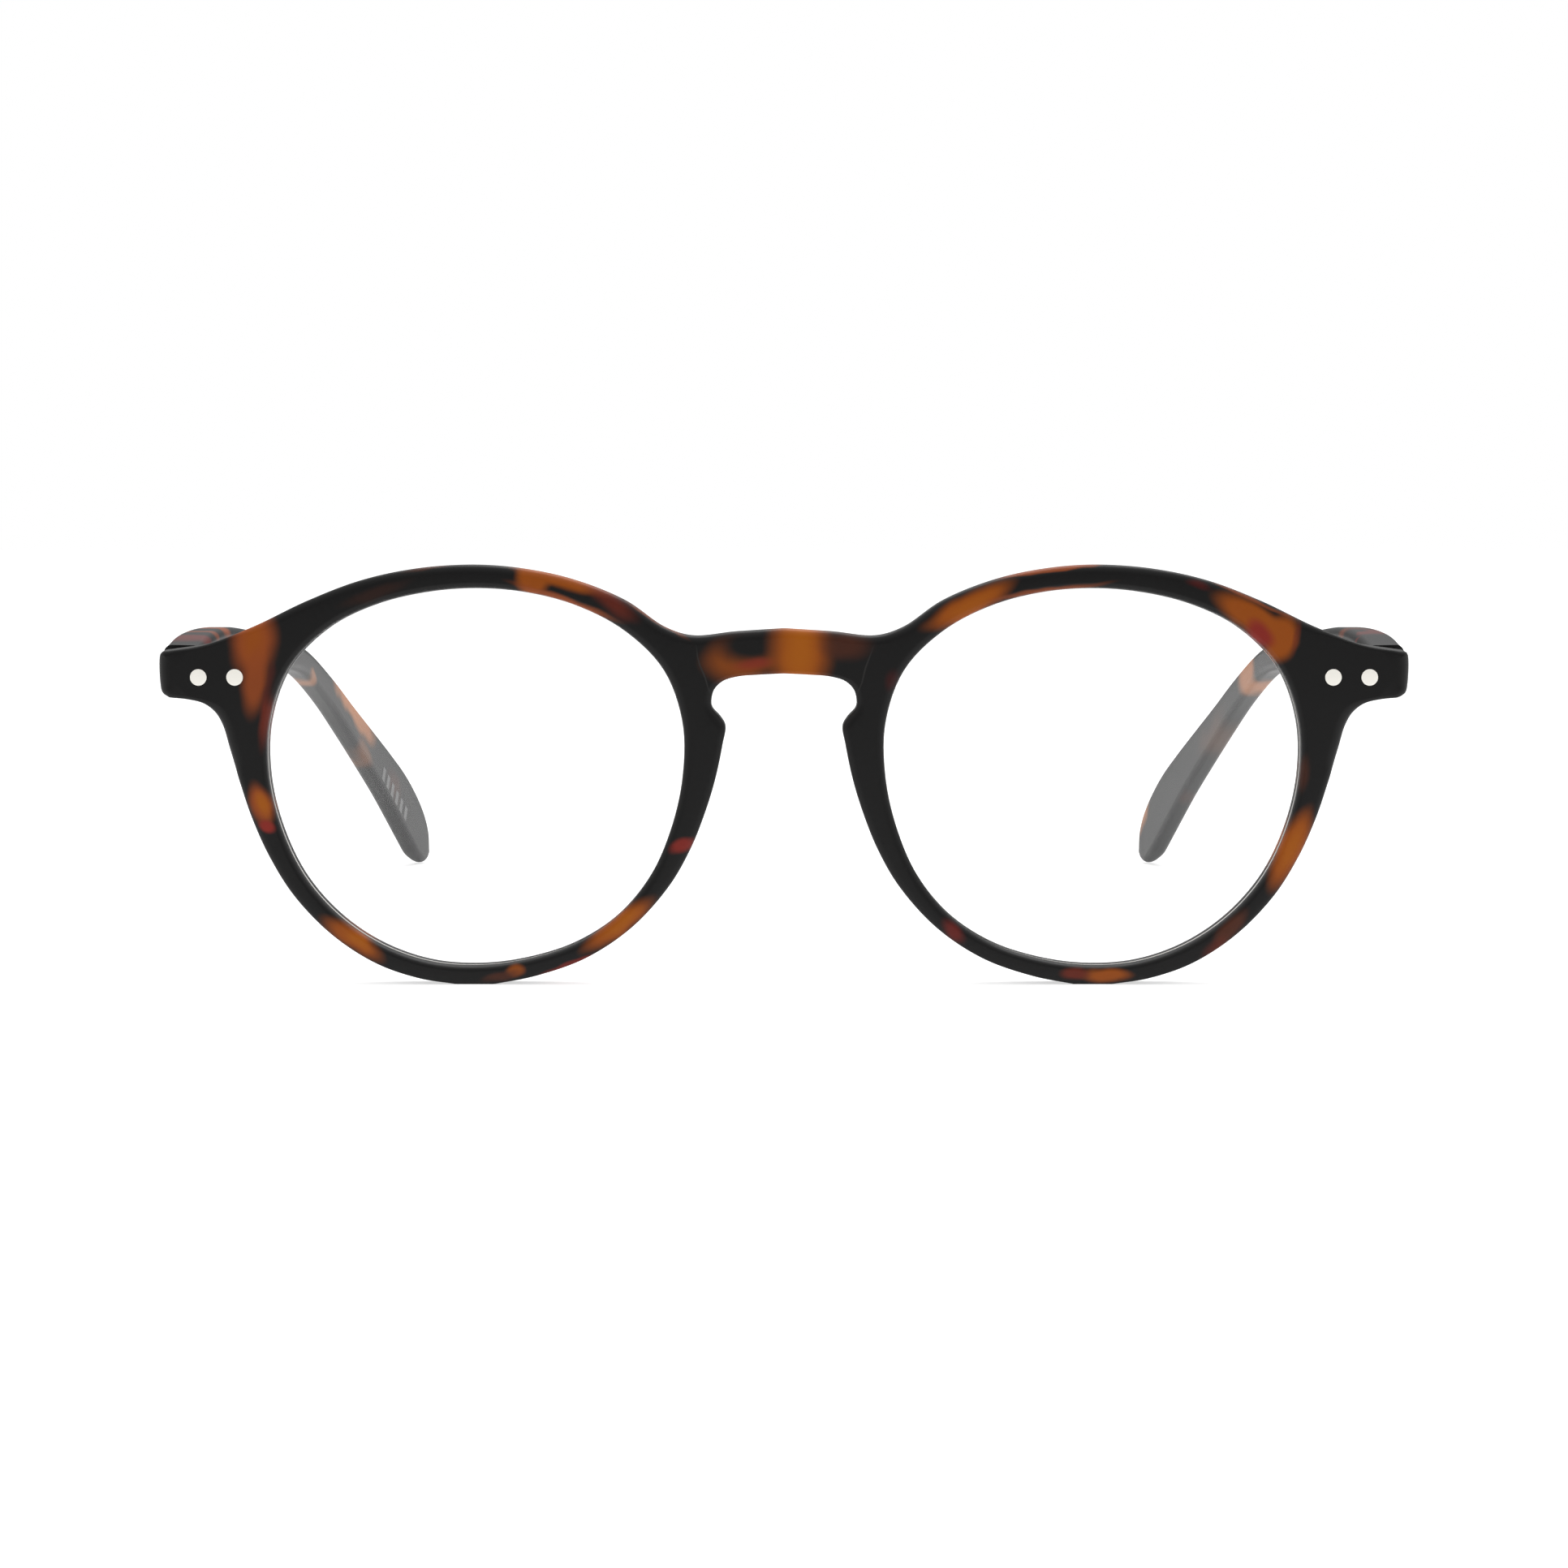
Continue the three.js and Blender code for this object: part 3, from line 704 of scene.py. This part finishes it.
def metal(name, colour, roughness, scale=(1, 1, 1)):
    material, tree, shader = nodes_of(name)
    shader.inputs["Base Color"].default_value = (*colour, 1)
    shader.inputs["Metallic"].default_value = 1
    place = add(tree, "ShaderNodeTexCoord")
    stretch = add(tree, "ShaderNodeMapping")
    stretch.inputs["Scale"].default_value = scale
    noise = add(tree, "ShaderNodeTexNoise")
    noise.inputs["Scale"].default_value = 4000
    rough = add(tree, "ShaderNodeMapRange")
    rough.inputs["To Min"].default_value = roughness - 0.08
    rough.inputs["To Max"].default_value = roughness + 0.1
    tree.links.new(place.outputs["Object"], stretch.inputs["Vector"])
    tree.links.new(stretch.outputs[0], noise.inputs["Vector"])
    tree.links.new(noise.outputs["Fac"], rough.inputs["Value"])
    tree.links.new(rough.outputs["Result"], shader.inputs["Roughness"])
    fine_bump(tree, shader, 5000, 0.15, 0.00002)
    return material


def rivet_material():
    material, tree, shader = nodes_of("rivet_pale_metal")
    shader.inputs["Base Color"].default_value = (0.88, 0.855, 0.79, 1)
    shader.inputs["Metallic"].default_value = 0.1
    shader.inputs["Roughness"].default_value = 0.45
    fine_bump(tree, shader, 6000, 0.2, 0.00002)
    return material


def lens_material():
    material, _, shader = nodes_of("clear_lens")
    shader.inputs["Base Color"].default_value = (0.75, 0.75, 0.75, 1)
    shader.inputs["Roughness"].default_value = 0.04
    shader.inputs["Alpha"].default_value = 0.04
    return material


def frosted_edge_glow_material():
    # Frosted grey for the lens bevel, with a faint emission: a painted glow that stands in for the light the
    # edge catches.
    material, tree, shader = nodes_of("frosted_lens_edge_painted_glow")
    shader.inputs["Base Color"].default_value = (0.5, 0.49, 0.47, 1)
    shader.inputs["Roughness"].default_value = 0.6
    shader.inputs["Emission Color"].default_value = (1, 1, 1, 1)
    # Painted glow: the edge gives off light of its own.
    shader.inputs["Emission Strength"].default_value = 0.05
    fine_bump(tree, shader, 5000, 0.3, 0.00002)
    return material


def ink_material():
    material, _, shader = nodes_of("pale_bar_print")
    shader.inputs["Base Color"].default_value = (0.13, 0.13, 0.13, 1)
    shader.inputs["Roughness"].default_value = 0.6
    return material


# ---- clouds in the plastic

BLACK = (0.0045, 0.0043, 0.0043)
AMBER = (0.25, 0.055, 0.002)
BRIGHT = (0.31, 0.08, 0.001)
ORANGE = (0.228, 0.047, 0.0075)
BROWN = (0.06, 0.015, 0.006)
RUST = (0.116, 0.015, 0.006)
RED = (0.2, 0.016, 0.01)
DARKRED = (0.12, 0.004, 0.003)
PEACH = (0.34, 0.13, 0.045)
SEAM = (0.022, 0.021, 0.02)

FRONT_BLOBS = [
    (-59.8, 38.8, 2.3, 3.3, -4, ORANGE, 0.45, 1), (-59.8, 39, 1.1, 2.2, 0, AMBER, 0.8, 0.9),
    (-59.7, 34.6, 1.2, 3.5, -6, ORANGE, 0.5, 0.9), (-58.3, 31.5, 0.6, 3.7, -8, RUST, 0.6, 0.9),
    (-56.8, 34.2, 1.2, 2.4, -28, BLACK, 0.5, 0.9), (-46, 44.4, 3.3, 0.6, 20, BROWN, 0.6, 0.25),
    (-39.8, 47.4, 2.4, 0.3, 9, BROWN, 0.6, 0.8), (-28.3, 46, 1.6, 1.8, -8, AMBER, 0.4, 1),
    (-25, 45.9, 5, 0.9, -16, AMBER, 0.45, 1), (-24.6, 43.5, 5, 0.4, -19, ORANGE, 0.6, 0.9),
    (-19.6, 43.5, 2.9, 0.8, -34, RUST, 0.7, 0.75), (-14.5, 41.5, 3.1, 0.3, -33, ORANGE, 0.6, 0.8),
    (-11.4, 15.8, 1.4, 0.7, 25, RED, 0.5, 0.85), (-18.8, 6.8, 4.2, 1, 37, AMBER, 0.45, 1),
    (-18.5, 7, 2.2, 0.5, 37, BRIGHT, 0.7, 0.9), (-24, 2.3, 3.3, 0.3, 20, RED, 0.6, 0.6),
    (-30.5, 1.4, 1, 0.6, 5, AMBER, 0.5, 0.8), (-32.2, 0.9, 1.8, 0.5, 5, BROWN, 0.6, 0.8),
    (-49, 5.2, 3.5, 1, -34, AMBER, 0.45, 1), (-48.4, 4.9, 1.6, 0.5, -34, BRIGHT, 0.7, 0.9),
    (-59.2, 20.5, 1.1, 2.3, 16, ORANGE, 0.45, 1), (-59, 20.6, 0.6, 1.3, 16, BRIGHT, 0.7, 0.9),
    (-58.6, 18, 0.9, 0.6, -20, RED, 0.5, 1), (-4.9, 36.9, 3.5, 2.3, 4, AMBER, 0.5, 0.7),
    (-3.8, 38.6, 3.3, 1.9, 0, BLACK, 0.5, 1), (-3.1, 36.4, 2, 0.6, 8, RED, 0.7, 0.6),
    (1.8, 37.9, 2.9, 5.5, 0, AMBER, 0.55, 1), (1.7, 38.1, 1.5, 4, 0, BRIGHT, 0.8, 1),
    (6.8, 38.4, 2.4, 1.4, 0, BROWN, 0.6, 0.75), (12.2, 34.6, 0.6, 1, -15, DARKRED, 0.7, 0.2),
    (20.8, 43, 4.8, 1.2, 27, AMBER, 0.42, 1), (21, 43.1, 2.8, 0.6, 27, BRIGHT, 0.7, 0.6),
    (30, 47, 5.7, 0.3, 8, ORANGE, 0.5, 0.9), (29.6, 44.6, 5.5, 0.3, 8, ORANGE, 0.6, 0.7),
    (46.7, 45.3, 1.1, 0.4, -20, DARKRED, 0.7, 0.35), (52.8, 43.6, 4, 0.2, -24, ORANGE, 0.6, 0.6),
    (53, 41.5, 4.6, 1.4, -30, AMBER, 0.38, 1), (56.1, 39.2, 1.7, 2.5, -12, AMBER, 0.36, 1),
    (57.8, 39.4, 0.3, 1.6, -10, RUST, 0.7, 0.5), (53.7, 39.8, 1.7, 1, -42, RED, 0.55, 1),
    (58.7, 24, 0.6, 1.8, -10, BROWN, 0.6, 0.6), (57.4, 15.5, 1.3, 4.4, -24, AMBER, 0.42, 1),
    (57.4, 15.5, 0.6, 2.4, -24, BRIGHT, 0.7, 0.8), (50.6, 6.4, 2.4, 0.8, 48, BROWN, 0.5, 1),
    (48.9, 4.2, 1.5, 0.6, 42, RUST, 0.7, 0.5), (36.7, 1.1, 2.4, 0.7, 2, AMBER, 0.5, 1),
    (33, 1.2, 1.5, 0.6, 0, RUST, 0.5, 0.9), (19.2, 6, 1.4, 0.7, -45, RED, 0.6, 0.5),
    (9.15, 35.7, 0.1, 2.5, -18, SEAM, 0.4, 0.8), (-9.15, 35.7, 0.1, 2.5, 18, SEAM, 0.4, 0.8),
]
LEFT_BLOBS = [
    (21, 39.3, 1.1, 0.9, 0, ORANGE, 0.8, 0.4), (13, 38.6, 0.5, 0.5, 0, RED, 0.6, 0.35),
    (16, 39.6, 3, 0.25, 0, RED, 0.6, 0.3), (36, 36.4, 5, 1.6, 4, AMBER, 0.5, 0.9),
    (48, 34.2, 3.4, 1.2, -5, RED, 0.6, 0.7), (80.5, 31.5, 4.4, 2.6, -24, PEACH, 0.45, 0.9),
    (77.5, 29.6, 3, 0.8, -20, PEACH, 0.6, 0.6), (102, 21.8, 6, 2.2, -23, PEACH, 0.7, 0.12),
    (118, 9, 3.4, 1.8, -30, BROWN, 0.6, 0.8), (137.3, 7.5, 3.2, 0.9, -52, PEACH, 0.6, 0.8),
]
RIGHT_BLOBS = [
    (10.5, 38.6, 1.2, 0.8, 0, RED, 0.6, 0.35), (15.5, 39.1, 1, 1, 0, ORANGE, 0.6, 0.5),
    (21.5, 39.6, 1.3, 1.2, 0, ORANGE, 0.6, 0.75), (40, 34.6, 5, 1.7, 2, AMBER, 0.5, 0.9),
    (53, 35, 3, 1.2, -8, RED, 0.6, 0.6), (76, 30.8, 2.2, 0.8, -20, PEACH, 0.6, 0.6),
    (97, 27.2, 8, 1.7, -22, PEACH, 0.45, 0.95), (105, 23.4, 6, 1.9, -23, PEACH, 0.5, 0.85),
    (107, 18.5, 3.5, 1.1, -25, PEACH, 0.7, 0.3), (122, 13, 3.4, 1.8, -30, BROWN, 0.6, 0.5),
]

steel = metal("satin_steel", (0.6, 0.6, 0.61), 0.32, (1, 0.08, 1))
spring_steel = metal("spring_wire", (0.5, 0.5, 0.52), 0.25)
rivet_metal = rivet_material()
glass = lens_material()
# The lens bevel's frosted grey, with a painted glow.
frosted_edge_glow = frosted_edge_glow_material()
bar_ink = ink_material()
front_plastic = tortoise("front_tortoise", FRONT_BLOBS, "Y", 0.001, 230)
temple_plastic = {
    "left": tortoise("left_temple_tortoise", LEFT_BLOBS, "X", 0.005, 120),
    "right": tortoise("right_temple_tortoise", RIGHT_BLOBS, "X", 0.005, 120),
}


# ---- assembly

def fit(piece, name, node, body, slot, *materials):
    piece.name = name
    piece.data.name = name
    shades = [polygon.material_index for polygon in piece.data.polygons]
    piece.data.materials.clear()
    for material in materials:
        piece.data.materials.append(material)
    for polygon, shade in zip(piece.data.polygons, shades):
        polygon.material_index = min(shade, len(materials) - 1)
    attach(piece, body)
    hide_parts(node)


def repaint(node, material):
    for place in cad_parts[node].material_slots:
        place.material = material


fit(make_front(), "front_frame", "front", "front_body", "front_plastic", front_plastic)
for word, side in SIDES:
    fit(placed(make_lens(), side), f"{word}_clear_lens", f"{word}_lens", "front_body", "lens", glass, frosted_edge_glow)
    for place in ("inner", "outer"):
        rivet = placed(make_rivet(place), side)
        fit(rivet, f"{word}_{place}_pin", f"{word}_{place}_rivet", "front_body", "rivet", rivet_metal)
    body = f"{word}_temple_body"
    for make, name, node, carrier in (
        (make_leaf, "leaf", "hinge_leaf", "front_body"),
        (make_screw, "screw", "hinge_screw", "front_body"),
        (make_housing, "case", "hinge_housing", body),
    ):
        fit(placed(make(), side), f"{word}_{name}", f"{word}_{node}", carrier, "hinge_steel", steel)
    temple = placed(make_temple(), side)
    fit(temple, f"{word}_arm", f"{word}_temple", body, "temple_plastic", temple_plastic[word])
    repaint(f"{word}_hinge_slider", steel)
    repaint(f"{word}_slider_nut", steel)
    node = f"{word}_hinge_spring"
    coil = make_spring(node)
    fit(coil, f"{word}_coil", node, f"{word}_slider_body", "spring_steel", spring_steel)
    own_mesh(coil)

bars = make_bars()
bars.name = bars.data.name = "right_tip_bars"
bars.data.materials.append(bar_ink)
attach(bars, "right_temple_body")


# ---- floor, light and camera

floor_mesh = bpy.data.meshes.new("floor")
floor_mesh.from_pydata([(-4, -0.34, 0), (4, -0.34, 0), (4, 4, 0), (-4, 4, 0)], [], [(0, 1, 2, 3)])
floor = in_scene("floor", floor_mesh)
floor.location.z = cad_box[0].z - 0.00002
floor_material, _, floor_shader = nodes_of("pale_floor")
floor_shader.inputs["Base Color"].default_value = (0.5, 0.5, 0.5, 1)
floor_shader.inputs["Roughness"].default_value = 0.7
floor_shader.inputs["Emission Color"].default_value = (1, 1, 1, 1)
floor_shader.inputs["Emission Strength"].default_value = 0.6
floor_mesh.materials.append(floor_material)


def tent_strength(tree):
    """How bright the tent is each way: brightest above and at both sides, less so behind."""
    place = add(tree, "ShaderNodeTexCoord")
    parts = add(tree, "ShaderNodeSeparateXYZ")
    tree.links.new(place.outputs["Generated"], parts.inputs[0])
    sideways = add(tree, "ShaderNodeMath", operation="ABSOLUTE")
    tree.links.new(parts.outputs["X"], sideways.inputs[0])
    dimmest = 0.055
    total = None
    for axis, low, high, amount in (
        (parts.outputs["Z"], 0.1, 0.75, 1.1),
        (parts.outputs["Y"], 0.1, 0.9, 0.35),
        (sideways.outputs[0], 0.55, 0.98, 1.2),
    ):
        ramp = add(tree, "ShaderNodeMapRange", interpolation_type="SMOOTHSTEP")
        ramp.inputs["From Min"].default_value = low
        ramp.inputs["From Max"].default_value = high
        ramp.inputs["To Min"].default_value = dimmest
        ramp.inputs["To Max"].default_value = dimmest + amount
        tree.links.new(axis, ramp.inputs["Value"])
        if total is None:
            total = ramp.outputs["Result"]
        else:
            both = add(tree, "ShaderNodeMath", operation="ADD")
            tree.links.new(total, both.inputs[0])
            tree.links.new(ramp.outputs["Result"], both.inputs[1])
            total = both.outputs[0]
    return total


def studio():
    """A white tent that lights the glasses and that the camera sees as plain white."""
    world = bpy.data.worlds.new("studio")
    bpy.context.scene.world = world
    world.use_nodes = True
    tree = world.node_tree
    tree.nodes.clear()
    light = add(tree, "ShaderNodeBackground")
    tree.links.new(tent_strength(tree), light.inputs["Strength"])
    seen = add(tree, "ShaderNodeBackground")
    seen.inputs["Color"].default_value = (1, 1, 1, 1)
    seen.inputs["Strength"].default_value = 1
    path = add(tree, "ShaderNodeLightPath")
    mix = add(tree, "ShaderNodeMixShader")
    out = add(tree, "ShaderNodeOutputWorld")
    tree.links.new(path.outputs["Is Camera Ray"], mix.inputs[0])
    tree.links.new(light.outputs[0], mix.inputs[1])
    tree.links.new(seen.outputs[0], mix.inputs[2])
    tree.links.new(mix.outputs[0], out.inputs["Surface"])


def softbox(name, spot, target, size, power):
    data = bpy.data.lights.new(name, "AREA")
    data.shape = "DISK"
    data.size = size
    data.energy = power
    lamp = in_scene(name, data)
    lamp.location = spot
    lamp.rotation_euler = (Vector(target) - Vector(spot)).to_track_quat("-Z", "Y").to_euler()


studio()
softbox("top_light", (0.1, 0.15, 0.9), (0, 0, 0), 0.9, 8)

camera_data = bpy.data.cameras.new("camera")
camera_data.lens = 81.45
camera_data.sensor_width = 36
camera_data.clip_start = 0.01
camera = in_scene("camera", camera_data)
camera.location = (0, (FRONT_Y - CAMERA_AWAY) * MM, CAMERA_HEIGHT * MM)
aim = Vector((0, FRONT_Y * MM, AIM_HEIGHT * MM))
camera.rotation_euler = (aim - camera.location).to_track_quat("-Z", "Y").to_euler()
bpy.context.scene.camera = camera
bpy.context.scene.view_settings.view_transform = "Standard"
